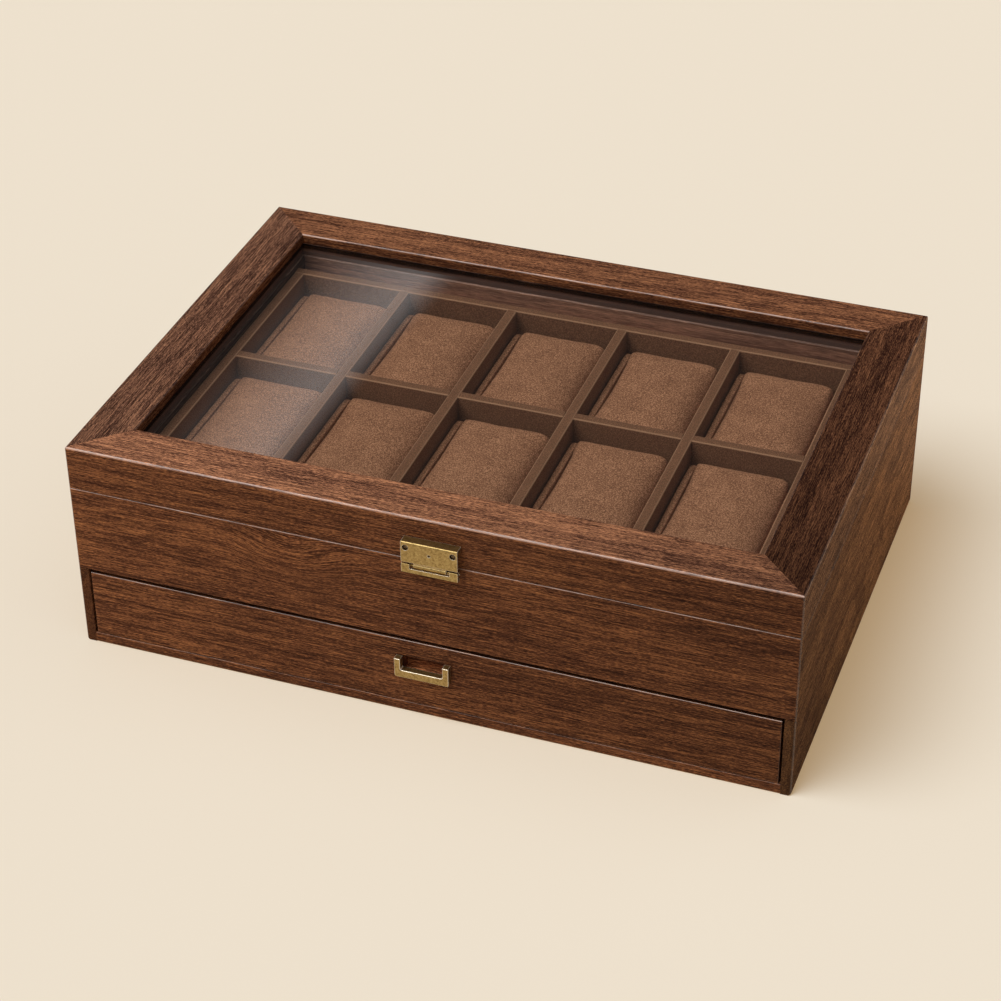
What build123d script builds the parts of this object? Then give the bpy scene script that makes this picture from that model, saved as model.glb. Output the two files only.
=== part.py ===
from build123d import *
import os
from math import hypot

# Watch box: a glazed lid over ten cushioned places, with a drawer below.
# Millimetres. The origin is the centre of the underside, X runs to the right,
# Y to the back and Z up. The front, with the latch and the drawer, faces -Y.

os.makedirs("parts", exist_ok=True)

# Tray: five by two places, lined with suede
columns = 5
rows = 2
place_width = 51.9
place_depth = 77.7
tray_wall = 5.0             # walls and dividers
tray_floor_thick = 3.0
tray_stand = 6.5            # walls stand this far above the seam
tray_round = 0.8            # soft edges of the lined tops
surround_thick = 5.0        # wooden strip between the tray and the case
surround_drop = 0.5         # below the seam

# Lid: a mitred frame, glazed from below, that closes round the top of the tray
lid_height = 22.0
rail_width = 24.0
rail_clear_ends = 1.25      # frame to the end walls of the tray
rail_clear_long = 9.8       # frame to its long walls
lid_outer_round = 1.5       # arris round the top
lid_inner_round = 1.2       # arris over the glass
glass_recess = 5.0          # glass below the top of the frame
glass_thick = 3.0
lip = 7.0                   # wood that laps over the glass
glass_play = 0.5            # room round the edge of the glass

# Case: mitred walls, a mitred front panel above and the drawer opening below
body_height = 86.0          # underside to the seam under the lid
wall = 10.0                 # all four case walls
corner_round = 1.4          # upright outer corners
edge_round = 0.7            # arrises along the seam
foot_round = 2.0            # lower outer edges
base_round = 0.35           # upper edge of the strip under the drawer
stile_width = 5.1           # ends of the side walls that show beside the drawer
base_thick = 5.2            # bottom board, whose edge shows under the drawer
deck_thick = 4.0            # board between the drawer and the tray
deck_drop = 2.4             # front panel reaches this far below the deck
groove = 3.0                # depth of the grooves that hold boards

# Pillows: a crowned pad with a stiff cap at each end
pillow_side_play = 0.9
pillow_end_play = 1.1
pillow_drop = 6.0           # top of the pad below the tops of the dividers
pillow_bed = 0.2            # room under a pillow
cap_thick = 4.0
cap_inset = 1.3             # cap is this much smaller than the pad all round
cap_round = 1.3             # rounded rim of the cap
pad_crown = 1.3             # the middle of the pad rises over its shoulders
pad_draw = 2.6              # the pad is drawn in this much where it meets a cap
pad_shoulder = 4.0          # length over which it is drawn in
pad_corner = 5.0            # rounding where the cover turns down at front and back
pad_foot = 1.5              # rounding along its lower edges

# Drawer
drawer_front_height = 34.7
drawer_front_thick = 11.0
drawer_gap_top = 1.4
drawer_gap_side = 1.0
drawer_gap_base = 0.3       # running gap over the bottom board
drawer_seat = 0.3           # between the shut front and the shoulders it meets
drawer_side_thick = 8.0
drawer_side_play = 0.8      # each side, to the case wall
drawer_side_drop = 0.8      # sides stop this far below the top of the front
drawer_back_play = 2.0      # behind the shut drawer
drawer_back_gap = 0.8       # over the drawer back, which stands up to the stops
drawer_bottom_thick = 3.0
drawer_bottom_rise = 2.0    # bottom board of the drawer above the edge of its sides
drawer_lining_thick = 1.5
drawer_round = 0.6
drawer_travel = 150.0

# Blocks under the deck that the drawer back strikes when fully out
stop_width = 16.0
stop_length = 14.0
stop_gap = 0.4              # over the drawer front as it passes
stop_play = 0.3             # left between block and drawer back at full travel
stop_from_centre = 120.0
stop_screw_radius = 1.2
stop_screw_short = 0.5      # the screws end this far inside the deck

# Pull: a cast U round a finger recess in the drawer front
pull_width = 25.8
pull_height = 9.8
pull_depth = 3.1
pull_arm = 2.8
pull_bar = 3.9
pull_above_middle = 3.3     # centre of the pull above the middle of the front
pull_round = 0.9
pull_edge = 0.35
recess_depth = 6.5
recess_below_bar = 2.9      # recess reaches this far below the top of the bar
recess_over_arms = 0.3
recess_round = 0.8
recess_ease = 0.35          # softened edge round its mouth
pull_screw_radius = 0.9
pull_screw_bite = 2.0       # length of the screw inside the arm
pull_screw_head = 2.2
pull_screw_head_thick = 1.5

# Latch: a plate on the lid, a flap hung from it and a keeper on the case
latch_offset = 6.0          # the latch sits to the right of the middle
latch_width = 26.1
latch_sheet = 0.9
latch_proud = 4.7           # outer face in front of the wood
latch_plate_height = 10.5
latch_swing_play = 0.3      # plate clear of the flap as it swings past
latch_bend = 0.7            # outside of the folded edge
nail_inset = 2.1            # nails from the ends of the plate
nail_drop = 2.9             # nails below its top edge
nail_cup_radius = 1.9
nail_cup_hole = 1.45
nail_cup_depth = 1.5        # floor of the cup behind the face of the plate
nail_radius = 0.5
nail_head_radius = 1.1
nail_head_thick = 1.0
nail_length = 7.0           # length of the shank in the wood
latch_pin_radius = 0.45
pin_play = 0.05             # running fit of both hinge pins and the latch pin
latch_pin_inset = 1.5       # pin centre behind the outer face
latch_pin_drop = 0.9        # pin centre below the seam
strap_width = 15.2
strap_sheet = 0.8
strap_knuckle = 1.05        # outer radius of the rolled end
strap_rise = 9.4            # top of the strap above the pin
rivet_radius = 0.7
rivet_above_pin = 7.6
rivet_sunk = 0.5
flap_height = 4.55
flap_ear = 3.8              # width of each ear
flap_ear_back = 1.1         # ear behind the pin
flap_ear_over = 1.15        # ear above the pin
flap_window = 1.1           # top edge of the flap's middle below the pin
flap_lip_play = 0.3         # inward lip clear of the keeper's rib
flap_round = 0.3
keeper_width = 17.6
keeper_sheet = 0.7
keeper_rib = 0.8
keeper_rib_height = 0.8
keeper_below_pin = 3.2      # lower edge of the keeper
keeper_under_seam = 0.25
keeper_nail_spread = 10.0
keeper_nail_drop = 0.45     # nails below the pin

# Stop hinges: leaves let into the seam, wings behind that meet when the lid is open
hinge_from_centre = 95.0
hinge_length = 32.0
hinge_leaf_thick = 1.2
hinge_leaf_reach = 8.0
hinge_leaf_sunk = 0.1       # leaf below the surface it is let into
hinge_barrel = 2.2
hinge_standoff = 0.3        # barrel clear of the back
hinge_pin_radius = 1.0
hinge_knuckles = 3
hinge_knuckle_gap = 0.2
hinge_opening = 95.0        # degrees
hinge_wing_reach = 7.5      # from the pin's axis
hinge_wing_thick = 1.2
hinge_wing_play = 0.1       # each wing from the plane where they meet
hinge_screw_radius = 1.0
hinge_screw_head = 1.9
hinge_screw_length = 8.5
hinge_screw_pitch = 18.0
hinge_screws_each = 2

# Places that follow from the sizes above
tray_half_x = (columns * place_width + (columns + 1) * tray_wall) / 2
tray_half_y = (rows * place_depth + (rows + 1) * tray_wall) / 2
half_width = tray_half_x + rail_clear_ends + rail_width
half_depth = tray_half_y + rail_clear_long + rail_width
inner_x = half_width - wall
inner_y = half_depth - wall
lid_top = body_height + lid_height
glass_top = lid_top - glass_recess
glass_base = glass_top - glass_thick
rebate_start = rail_width - lip

drawer_base = base_thick + drawer_gap_base
drawer_front_top = drawer_base + drawer_front_height
panel_foot = drawer_front_top + drawer_gap_top
deck_base = panel_foot + deck_drop
deck_top = deck_base + deck_thick

tray_floor_top = deck_top + tray_floor_thick
tray_top = body_height + tray_stand

opening_x = half_width - stile_width
front_back_y = -half_depth + drawer_front_thick
shoulder_y = front_back_y + drawer_seat
drawer_half_x = inner_x - drawer_side_play
drawer_rear_y = inner_y - drawer_back_play
drawer_back_face_y = drawer_rear_y - drawer_side_thick
drawer_side_top = drawer_front_top - drawer_side_drop
drawer_bottom_base = drawer_base + drawer_bottom_rise
drawer_bottom_top = drawer_bottom_base + drawer_bottom_thick

latch_pin_out = latch_proud - latch_pin_inset
latch_pin_y = -half_depth - latch_pin_out
latch_pin_z = body_height - latch_pin_drop
latch_face_y = -half_depth - latch_proud
latch_inner_y = latch_face_y + latch_sheet
nail_cup_floor = latch_proud - nail_cup_depth
latch_plate_low = latch_pin_z + hypot(latch_pin_inset, flap_ear_over) + latch_swing_play
latch_plate_high = latch_plate_low + latch_plate_height

hinge_y = half_depth + hinge_standoff + hinge_barrel


def block(x, y, z):
    """Box between the low and high values given for each axis."""
    middle = [(low + high) / 2 for low, high in (x, y, z)]
    size = [high - low for low, high in (x, y, z)]
    return Pos(*middle) * Box(*size)


def outline(points, rounds):
    """Closed outline through the points, each corner rounded by its own radius (0 for sharp)."""
    shape = make_face(Polyline(*points, close=True))
    for point, radius in zip(points, rounds):
        if radius > 0:
            corner = shape.vertices().sort_by_distance(point)[0]
            shape = fillet(corner, radius)
    return shape


def rod(start, direction, radius, length):
    """Round bar from a start point along a direction."""
    plane = Plane(origin=start, z_dir=direction)
    return extrude(plane * Circle(radius), amount=length)


def side_plane(side):
    """Plane for a profile drawn as distance inward and height, on one side of the box."""
    if side == "front":
        return Plane(origin=(-half_width, -half_depth, 0), x_dir=(0, 1, 0), z_dir=(1, 0, 0))
    if side == "back":
        return Plane(origin=(half_width, half_depth, 0), x_dir=(0, -1, 0), z_dir=(-1, 0, 0))
    if side == "left":
        return Plane(origin=(-half_width, half_depth, 0), x_dir=(1, 0, 0), z_dir=(0, -1, 0))
    return Plane(origin=(half_width, -half_depth, 0), x_dir=(-1, 0, 0), z_dir=(0, 1, 0))


def length_of(side):
    """Outer length of one side of the box."""
    return 2 * (half_width if side in ("front", "back") else half_depth)


def mitre_prism(side, reach):
    """Tall prism over one side, bounded by the 45 degree planes at both corners."""
    if side in ("front", "back"):
        sign = -1 if side == "front" else 1
        corners = [(-half_width, sign * half_depth), (half_width, sign * half_depth)]
        corners += [(half_width - reach, sign * (half_depth - reach))]
        corners += [(-half_width + reach, sign * (half_depth - reach))]
    else:
        sign = -1 if side == "left" else 1
        corners = [(sign * half_width, -half_depth), (sign * half_width, half_depth)]
        corners += [(sign * (half_width - reach), half_depth - reach)]
        corners += [(sign * (half_width - reach), -half_depth + reach)]
    return extrude(make_face(Polyline(*corners, close=True)), amount=lid_top)


def run_along(profile, side):
    """The profile carried along the whole of one side, with square ends."""
    return extrude(side_plane(side) * profile, amount=length_of(side))


def outer_block():
    """The whole box with its upright corners rounded, which every outer piece is kept within."""
    return extrude(RectangleRounded(2 * half_width, 2 * half_depth, corner_round), amount=lid_top)


def deck_board():
    """Board between drawer and tray, held in grooves on all four sides."""
    x = inner_x + groove
    y = inner_y + groove
    return block((-x, x), (-y, y), (deck_base, deck_top))


def wall_profile(foot, foot_radius):
    """Section of a case wall, from its foot to the seam."""
    points = [(0, foot), (wall, foot), (wall, body_height), (0, body_height)]
    return outline(points, [foot_radius, 0, 0, edge_round])


def hinge_mortise(x, rise):
    """Pocket for one hinge leaf: in the case below the seam (rise -1) or in the lid above it (1)."""
    depth = hinge_leaf_thick + hinge_leaf_sunk
    z = sorted((body_height, body_height + rise * depth))
    reach_y = (half_depth - hinge_leaf_reach, half_depth + hinge_standoff)
    return block((x - hinge_length / 2, x + hinge_length / 2), reach_y, z)


def front_panel():
    """Upper front, mitred to the side walls, with the drawer opening below it."""
    panel = run_along(wall_profile(panel_foot, edge_round), "front") & mitre_prism("front", wall)
    panel = panel & outer_block()
    for nail in keeper_nail_list():
        panel -= nail
    return panel - deck_board()


def side_wall(side):
    """Side wall: mitred at the back and above the drawer, run out to the front as a stile below."""
    sign = -1 if side == "left" else 1
    stock = run_along(wall_profile(0, foot_round), side)
    mitred = stock & mitre_prism(side, wall)
    inner_low, inner_high = sorted((sign * inner_x, sign * half_width))
    stile = stock & block((inner_low, inner_high), (-half_depth, -inner_y), (0, panel_foot))
    low, high = sorted((sign * (inner_x - 1), sign * opening_x))
    rebate = block((low, high), (-half_depth - 1, shoulder_y), (-1, panel_foot))
    return ((mitred + stile) & outer_block()) - rebate - deck_board()


def back_panel():
    """Back wall, mitred to both sides, with pockets for the hinge leaves."""
    panel = run_along(wall_profile(0, foot_round), "back") & mitre_prism("back", wall)
    panel = (panel & outer_block()) - deck_board()
    for x in hinge_places():
        panel -= hinge_mortise(x, -1)
    for screw in hinge_screw_list(-1):
        panel -= screw
    return panel


def bottom_board():
    """Bottom board, wider in front, where its edge closes the front under the drawer."""
    board = block((-inner_x, inner_x), (shoulder_y, inner_y), (0, base_thick))
    nose = outline([(0, 0), (drawer_front_thick + drawer_seat, 0),
                    (drawer_front_thick + drawer_seat, base_thick), (0, base_thick)],
                   [edge_round, 0, 0, base_round])
    between_stiles = block((-opening_x, opening_x), (-half_depth, 0), (0, base_thick))
    return board + (run_along(nose, "front") & between_stiles)


def surround_strips(side_pair):
    """Strips that close the gap between the tray and the case, just under the seam."""
    top = body_height - surround_drop
    z = (top - surround_thick, top)
    if side_pair == "long":
        x = (-inner_x, inner_x)
        spans = [(x, (-inner_y, -tray_half_y)), (x, (tray_half_y, inner_y))]
    else:
        y = (-tray_half_y, tray_half_y)
        spans = [((-inner_x, -tray_half_x), y), ((tray_half_x, inner_x), y)]
    return [block(x, y, z) for x, y in spans]


def soft_top_profile(low, high, foot):
    """Section of a lined wall: square below, softly rounded along its top."""
    points = [(low, foot), (high, foot), (high, tray_top), (low, tray_top)]
    return outline(points, [0, 0, tray_round, tray_round])


def wall_along_x(y_low, y_high, x_half, foot):
    """Lined wall that runs from left to right."""
    plane = Plane(origin=(-x_half, 0, 0), x_dir=(0, 1, 0), z_dir=(1, 0, 0))
    return extrude(plane * soft_top_profile(y_low, y_high, foot), amount=2 * x_half)


def wall_along_y(x_low, x_high, y_half, foot):
    """Lined wall that runs from front to back."""
    plane = Plane(origin=(0, y_half, 0), x_dir=(1, 0, 0), z_dir=(0, -1, 0))
    return extrude(plane * soft_top_profile(x_low, x_high, foot), amount=2 * y_half)


def tray_long_wall(sign):
    """Front or back wall of the tray, over its whole width."""
    low, high = sorted((sign * (tray_half_y - tray_wall), sign * tray_half_y))
    return wall_along_x(low, high, tray_half_x, deck_top)


def tray_end_wall(sign):
    """Left or right wall of the tray, between the long walls."""
    low, high = sorted((sign * (tray_half_x - tray_wall), sign * tray_half_x))
    return wall_along_y(low, high, tray_half_y - tray_wall, deck_top)


def tray_floor():
    """Lined floor inside the tray walls."""
    x = tray_half_x - tray_wall
    y = tray_half_y - tray_wall
    return block((-x, x), (-y, y), (deck_top, tray_floor_top))


def column_centres():
    """X of the dividers between columns."""
    pitch = place_width + tray_wall
    return [(index - columns / 2) * pitch for index in range(1, columns)]


def row_centres():
    """Y of the dividers between rows."""
    pitch = place_depth + tray_wall
    return [(index - rows / 2) * pitch for index in range(1, rows)]


def lap(x, y, low, high):
    """The halving where a divider between columns crosses one between rows."""
    half = tray_wall / 2
    return block((x - half, x + half), (y - half, y + half), (low, high))


def row_divider(y):
    """Divider between rows, notched from above for the dividers between columns."""
    half_lap = (tray_floor_top + tray_top) / 2
    divider = wall_along_x(y - tray_wall / 2, y + tray_wall / 2, tray_half_x - tray_wall, tray_floor_top)
    for x in column_centres():
        divider -= lap(x, y, half_lap, tray_top)
    return divider


def column_divider(x):
    """Divider between columns, notched from below where it crosses the dividers between rows."""
    half_lap = (tray_floor_top + tray_top) / 2
    divider = wall_along_y(x - tray_wall / 2, x + tray_wall / 2, tray_half_y - tray_wall, tray_floor_top)
    for y in row_centres():
        divider -= lap(x, y, tray_floor_top, half_lap)
    return divider


def cushion_section(x, depth, height, base):
    """Section of a pillow across its roll: rounded at its top corners, easier below."""
    plane = Plane(origin=(x, 0, base), x_dir=(0, 1, 0), z_dir=(1, 0, 0))
    half = depth / 2
    points = [(-half, 0), (half, 0), (half, height), (-half, height)]
    return plane * outline(points, [pad_foot, pad_foot, pad_corner, pad_corner])


def pillow_pad(half_length, depth, height, base):
    """Crowned pad: fullest in the middle and drawn in where it meets the caps."""
    shoulder = half_length - pad_shoulder
    stations = [(-half_length, pad_draw, pad_crown), (-shoulder, 0, pad_crown), (0, 0, 0)]
    stations += [(shoulder, 0, pad_crown), (half_length, pad_draw, pad_crown)]
    sections = []
    for x, draw, fall in stations:
        tall = height - fall - 2 * draw
        sections.append(cushion_section(x, depth - 2 * draw, tall, base + draw))
    return loft(sections, ruled=True)


def pillow_cap(sign, inner, depth, height, base):
    """Stiff end cap with a rounded rim."""
    sections = []
    for x, inset in ((inner, 0), (inner + cap_thick - cap_round, 0), (inner + cap_thick, cap_round)):
        sections.append(cushion_section(sign * x, depth - 2 * inset, height - 2 * inset, base + inset))
    return loft(sections, ruled=True)


def pillow(column, row):
    """One watch pillow in its place, as a pad and two caps."""
    x = (column - (columns - 1) / 2) * (place_width + tray_wall)
    y = (row - (rows - 1) / 2) * (place_depth + tray_wall)
    half_length = place_width / 2 - pillow_side_play
    depth = place_depth - 2 * pillow_end_play
    base = tray_floor_top + pillow_bed
    height = tray_top - pillow_drop - base
    pad_half = half_length - cap_thick
    pieces = [pillow_pad(pad_half, depth, height, base)]
    for sign in (-1, 1):
        cap_height = height - 2 * cap_inset - pad_crown
        pieces.append(pillow_cap(sign, pad_half, depth - 2 * cap_inset, cap_height, base))
    return [Pos(x, y, 0) * piece for piece in pieces]


def lid_rail(side):
    """One mitred side of the lid frame, with a lip over the glass."""
    points = [(0, body_height), (rebate_start, body_height), (rebate_start, glass_top),
              (rail_width, glass_top), (rail_width, lid_top), (0, lid_top)]
    section = outline(points, [edge_round, 0, 0, 0, lid_inner_round, lid_outer_round])
    rail = (run_along(section, side) & mitre_prism(side, rail_width)) & outer_block()
    if side == "back":
        for x in hinge_places():
            rail -= hinge_mortise(x, 1)
        for screw in hinge_screw_list(1):
            rail -= screw
    if side == "front":
        for nail in plate_nail_list():
            rail -= nail
    return rail


def glass_pane():
    """The pane, under the lip on all four sides."""
    x = half_width - rebate_start - glass_play
    y = half_depth - rebate_start - glass_play
    return block((-x, x), (-y, y), (glass_base, glass_top))


def glass_bead(side):
    """Mitred strip that fills the rebate under the glass and holds it up."""
    points = [(rebate_start, body_height), (rail_width, body_height),
              (rail_width, glass_base), (rebate_start, glass_base)]
    section = outline(points, [0, edge_round, 0, 0])
    return run_along(section, side) & mitre_prism(side, rail_width)


def recess_cutter():
    """Finger recess in the drawer front, inside the arms of the pull and behind its bar."""
    half = pull_width / 2 - pull_arm
    low = pull_base() + pull_bar - recess_below_bar
    high = pull_base() + pull_height + recess_over_arms
    plane = Plane(origin=(0, -half_depth, (low + high) / 2), x_dir=(1, 0, 0), z_dir=(0, -1, 0))
    return extrude(plane * RectangleRounded(2 * half, high - low, recess_round), amount=-recess_depth)


def pull_base():
    """Height of the lower edge of the pull."""
    return drawer_base + drawer_front_height / 2 + pull_above_middle - pull_height / 2


def drawer_bottom():
    """Bottom of the drawer, held in grooves on all four sides."""
    x = drawer_half_x - drawer_side_thick + groove
    y = (front_back_y - groove, drawer_back_face_y + groove)
    return block((-x, x), y, (drawer_bottom_base, drawer_bottom_top))


def drawer_front():
    """Drawer front with softened edges and the finger recess."""
    x = opening_x - drawer_gap_side
    front = block((-x, x), (-half_depth, front_back_y), (drawer_base, drawer_front_top))
    face = front.faces().sort_by(Axis.Y)[0]
    front = fillet(face.edges(), drawer_round)
    front = front - recess_cutter() - drawer_bottom()
    mouth = front.faces().sort_by(Axis.Y)[0].inner_wires()[0]
    front = fillet(mouth.edges(), recess_ease)
    for screw in pull_screw_list():
        front -= screw
    return front


def drawer_side(sign):
    """Left or right side of the drawer, between its front and back."""
    x = sorted((sign * drawer_half_x, sign * (drawer_half_x - drawer_side_thick)))
    side = block(x, (front_back_y, drawer_back_face_y), (drawer_base, drawer_side_top))
    return side - drawer_bottom()


def drawer_back():
    """Back of the drawer, tall enough to strike the stops."""
    z = (drawer_base, deck_base - drawer_back_gap)
    back = block((-drawer_half_x, drawer_half_x), (drawer_back_face_y, drawer_rear_y), z)
    return back - drawer_bottom()


def drawer_lining():
    """Suede-covered card that lies on the bottom of the drawer."""
    x = drawer_half_x - drawer_side_thick
    z = (drawer_bottom_top, drawer_bottom_top + drawer_lining_thick)
    return block((-x, x), (front_back_y, drawer_back_face_y), z)


def stop_places():
    """Centre of each stop block, in X, and the Y of the face that the drawer back strikes."""
    face_y = drawer_back_face_y - drawer_travel - stop_play
    return [(sign * stop_from_centre, face_y) for sign in (-1, 1)]


def stop_base():
    """Underside of the stop blocks, clear of the drawer front."""
    return drawer_front_top + stop_gap


def stop_screw_list():
    """Screws up through the stop blocks into the deck."""
    screws = []
    for x, face_y in stop_places():
        place = Location((x, face_y - stop_length / 2, stop_base()), (180, 0, 0))
        length = deck_top - stop_base() - stop_screw_short
        screws.append(place * countersunk_screw(stop_screw_radius, 2 * stop_screw_radius, length))
    return screws


def drawer_stops():
    """Blocks screwed under the deck."""
    blocks = []
    for x, face_y in stop_places():
        y = (face_y - stop_length, face_y)
        piece = block((x - stop_width / 2, x + stop_width / 2), y, (stop_base(), deck_base))
        for screw in stop_screw_list():
            piece -= screw
        blocks.append(piece)
    return blocks


def countersunk_screw(radius, head_radius, length):
    """Slotted countersunk screw, its head's face at the origin and its shank down -Z."""
    head_depth = head_radius - radius
    points = [(0, 0), (head_radius, 0), (radius, -head_depth), (radius, -length), (0, -length)]
    face = Plane.XZ * make_face(Polyline(*points, close=True))
    screw = revolve(face, Axis.Z)
    slot = block((-head_radius, head_radius), (-0.2 * radius, 0.2 * radius), (-0.45 * head_depth, 1))
    return screw - slot


def pull_outline():
    """The U of the pull, seen from the front, with its lower edge on the X axis."""
    half = pull_width / 2
    points = [(-half, 0), (half, 0), (half, pull_height), (half - pull_arm, pull_height),
              (half - pull_arm, pull_bar), (-half + pull_arm, pull_bar),
              (-half + pull_arm, pull_height), (-half, pull_height)]
    return outline(points, [pull_round, pull_round, 0, 0, pull_round, pull_round, 0, 0])


def drawer_pull():
    """Cast pull with eased front edges, drilled from behind for its screws."""
    plane = Plane(origin=(0, -half_depth, pull_base()), x_dir=(1, 0, 0), z_dir=(0, -1, 0))
    pull = extrude(plane * pull_outline(), amount=pull_depth)
    face = pull.faces().sort_by(Axis.Y)[0]
    pull = fillet(face.edges(), pull_edge)
    for screw in pull_screw_list():
        pull -= screw
    return pull


def pull_screw_list():
    """Pan screws from inside the drawer, through its front and into the arms."""
    screws = []
    z = pull_base() + pull_height - pull_arm
    for sign in (-1, 1):
        x = sign * (pull_width - pull_arm) / 2
        start = (x, front_back_y, z)
        shank = rod(start, (0, -1, 0), pull_screw_radius, drawer_front_thick + pull_screw_bite)
        head = rod(start, (0, 1, 0), pull_screw_head, pull_screw_head_thick)
        head = chamfer(head.faces().sort_by(Axis.Y)[-1].edges(), pull_screw_head_thick / 3)
        screws.append(shank + head)
    return screws


def latch_section(points, rounds, half_span, centre=0.0):
    """Section drawn as distance in front of the wood and height, carried across the latch."""
    plane = Plane(origin=(latch_offset + centre + half_span, -half_depth, 0),
                  x_dir=(0, -1, 0), z_dir=(-1, 0, 0))
    return extrude(plane * outline(points, rounds), amount=2 * half_span)


def plate_nail_places():
    """X and Z of the two nails near the upper corners of the plate."""
    z = latch_plate_high - nail_drop
    spread = latch_width / 2 - nail_inset
    return [(latch_offset + sign * spread, z) for sign in (-1, 1)]


def latch_plate():
    """Folded plate: a face held off the wood by its top return and a cup round each nail."""
    low = latch_plate_low
    high = latch_plate_high
    inner = latch_proud - latch_sheet
    points = [(inner, low), (latch_proud, low), (latch_proud, high), (0, high),
              (0, high - latch_sheet), (inner, high - latch_sheet)]
    plate = latch_section(points, [0, 0, latch_bend, 0, 0, 0], latch_width / 2)
    for x, z in plate_nail_places():
        plate += rod((x, -half_depth, z), (0, -1, 0), nail_cup_radius, inner)
    for x, z in plate_nail_places():
        plate -= rod((x, -half_depth - nail_cup_floor, z), (0, -1, 0), nail_cup_hole, latch_proud)
        plate -= rod((x, -half_depth, z), (0, -1, 0), nail_radius, nail_cup_floor)
    return plate - rivet_hole()


def nail(x, z, head_base):
    """Round-headed nail into the front, its head standing on a sheet of the given thickness."""
    shank = rod((x, -half_depth - head_base, z), (0, 1, 0), nail_radius, nail_length + head_base)
    head = rod((x, -half_depth - head_base, z), (0, -1, 0), nail_head_radius, nail_head_thick)
    rim = head.faces().sort_by(Axis.Y)[0].edges()
    return shank + chamfer(rim, nail_head_thick / 2)


def plate_nail_list():
    """The two nails of the latch plate."""
    return [nail(x, z, nail_cup_floor) for x, z in plate_nail_places()]


def latch_rivet():
    """Rivet that joins strap and plate, its end sunk a little below the face."""
    start = (latch_offset, latch_inner_y + strap_sheet, latch_pin_z + rivet_above_pin)
    length = strap_sheet + latch_sheet - rivet_sunk
    return rod(start, (0, -1, 0), rivet_radius, length)


def rivet_hole():
    """Hole through strap and plate for the rivet."""
    start = (latch_offset, latch_inner_y + strap_sheet, latch_pin_z + rivet_above_pin)
    return rod(start, (0, -1, 0), rivet_radius, strap_sheet + latch_sheet)


def latch_strap():
    """Strap behind the plate, rolled round the pin at its lower end."""
    outer = latch_proud - latch_sheet
    inner = outer - strap_sheet
    high = latch_pin_z + strap_rise
    points = [(inner, latch_pin_z), (outer, latch_pin_z), (outer, high), (inner, high)]
    strap = latch_section(points, [0, 0, 0, 0], strap_width / 2)
    start = (latch_offset - strap_width / 2, latch_pin_y, latch_pin_z)
    strap += rod(start, (1, 0, 0), strap_knuckle, strap_width)
    strap -= rod(start, (1, 0, 0), latch_pin_radius + pin_play, strap_width)
    return strap - rivet_hole()


def latch_pin():
    """Pin through the strap and both ears of the flap."""
    start = (latch_offset - latch_width / 2 + latch_sheet / 2, latch_pin_y, latch_pin_z)
    return rod(start, (1, 0, 0), latch_pin_radius, latch_width - latch_sheet)


def latch_flap():
    """Flap on the pin: two ears, a narrow face between them and a lip along the bottom."""
    high = latch_pin_z + flap_ear_over
    low = high - flap_height
    inner = latch_proud - latch_sheet
    lip_back = keeper_sheet + keeper_rib + flap_lip_play
    window = latch_pin_z - flap_window
    face = [(lip_back, low), (latch_proud, low), (latch_proud, window), (inner, window),
            (inner, low + latch_sheet), (lip_back, low + latch_sheet)]
    flap = latch_section(face, [flap_round, flap_round, 0, 0, 0, 0], latch_width / 2)
    ear_back = latch_pin_out - flap_ear_back
    ear = [(ear_back, window), (latch_proud, window), (latch_proud, high), (ear_back, high)]
    for sign in (-1, 1):
        centre = sign * (latch_width - flap_ear) / 2
        flap += latch_section(ear, [flap_round, 0, flap_round, flap_round], flap_ear / 2, centre)
    start = (latch_offset - latch_width / 2, latch_pin_y, latch_pin_z)
    return flap - rod(start, (1, 0, 0), latch_pin_radius + pin_play, latch_width)


def keeper_nail_list():
    """The two small nails of the keeper."""
    z = latch_pin_z - keeper_nail_drop
    spread = keeper_nail_spread / 2
    return [nail(latch_offset + sign * spread, z, keeper_sheet) for sign in (-1, 1)]


def latch_keeper():
    """Keeper on the front panel, behind the flap, with the rib that its lip snaps under."""
    low = latch_pin_z - keeper_below_pin
    high = body_height - keeper_under_seam
    rib_low = low + keeper_rib_height
    tip = keeper_sheet + keeper_rib
    points = [(0, low), (keeper_sheet, low), (keeper_sheet, rib_low), (tip, rib_low),
              (tip, rib_low + keeper_rib_height), (keeper_sheet, rib_low + keeper_rib_height),
              (keeper_sheet, high), (0, high)]
    rib_round = 0.45 * keeper_rib_height
    keeper = latch_section(points, [0, 0, 0, rib_round, rib_round, 0, 0, 0], keeper_width / 2)
    for piece in keeper_nail_list():
        keeper -= piece
    return keeper


def hinge_places():
    """X of the two hinges."""
    return [-hinge_from_centre, hinge_from_centre]


def hinge_screw_list(rise):
    """Screws of both hinges, down into the case (rise -1) or up into the lid (1)."""
    y = half_depth - hinge_leaf_reach / 2
    z = body_height + rise * hinge_leaf_sunk
    turn = (0, 0, 0) if rise < 0 else (180, 0, 0)
    screws = []
    for x in hinge_places():
        for index in range(hinge_screws_each):
            shift = (index - (hinge_screws_each - 1) / 2) * hinge_screw_pitch
            place = Location((x + shift, y, z), turn)
            screw = countersunk_screw(hinge_screw_radius, hinge_screw_head, hinge_screw_length)
            screws.append(place * screw)
    return screws


def knuckle_spans(parity):
    """X ranges, from the hinge's left end, of the knuckles of one leaf."""
    step = hinge_length / hinge_knuckles
    spans = []
    for index in range(parity, hinge_knuckles, 2):
        low = index * step + (hinge_knuckle_gap / 2 if index > 0 else 0)
        high = (index + 1) * step - (hinge_knuckle_gap / 2 if index < hinge_knuckles - 1 else 0)
        spans.append((low, high))
    return spans


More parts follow.
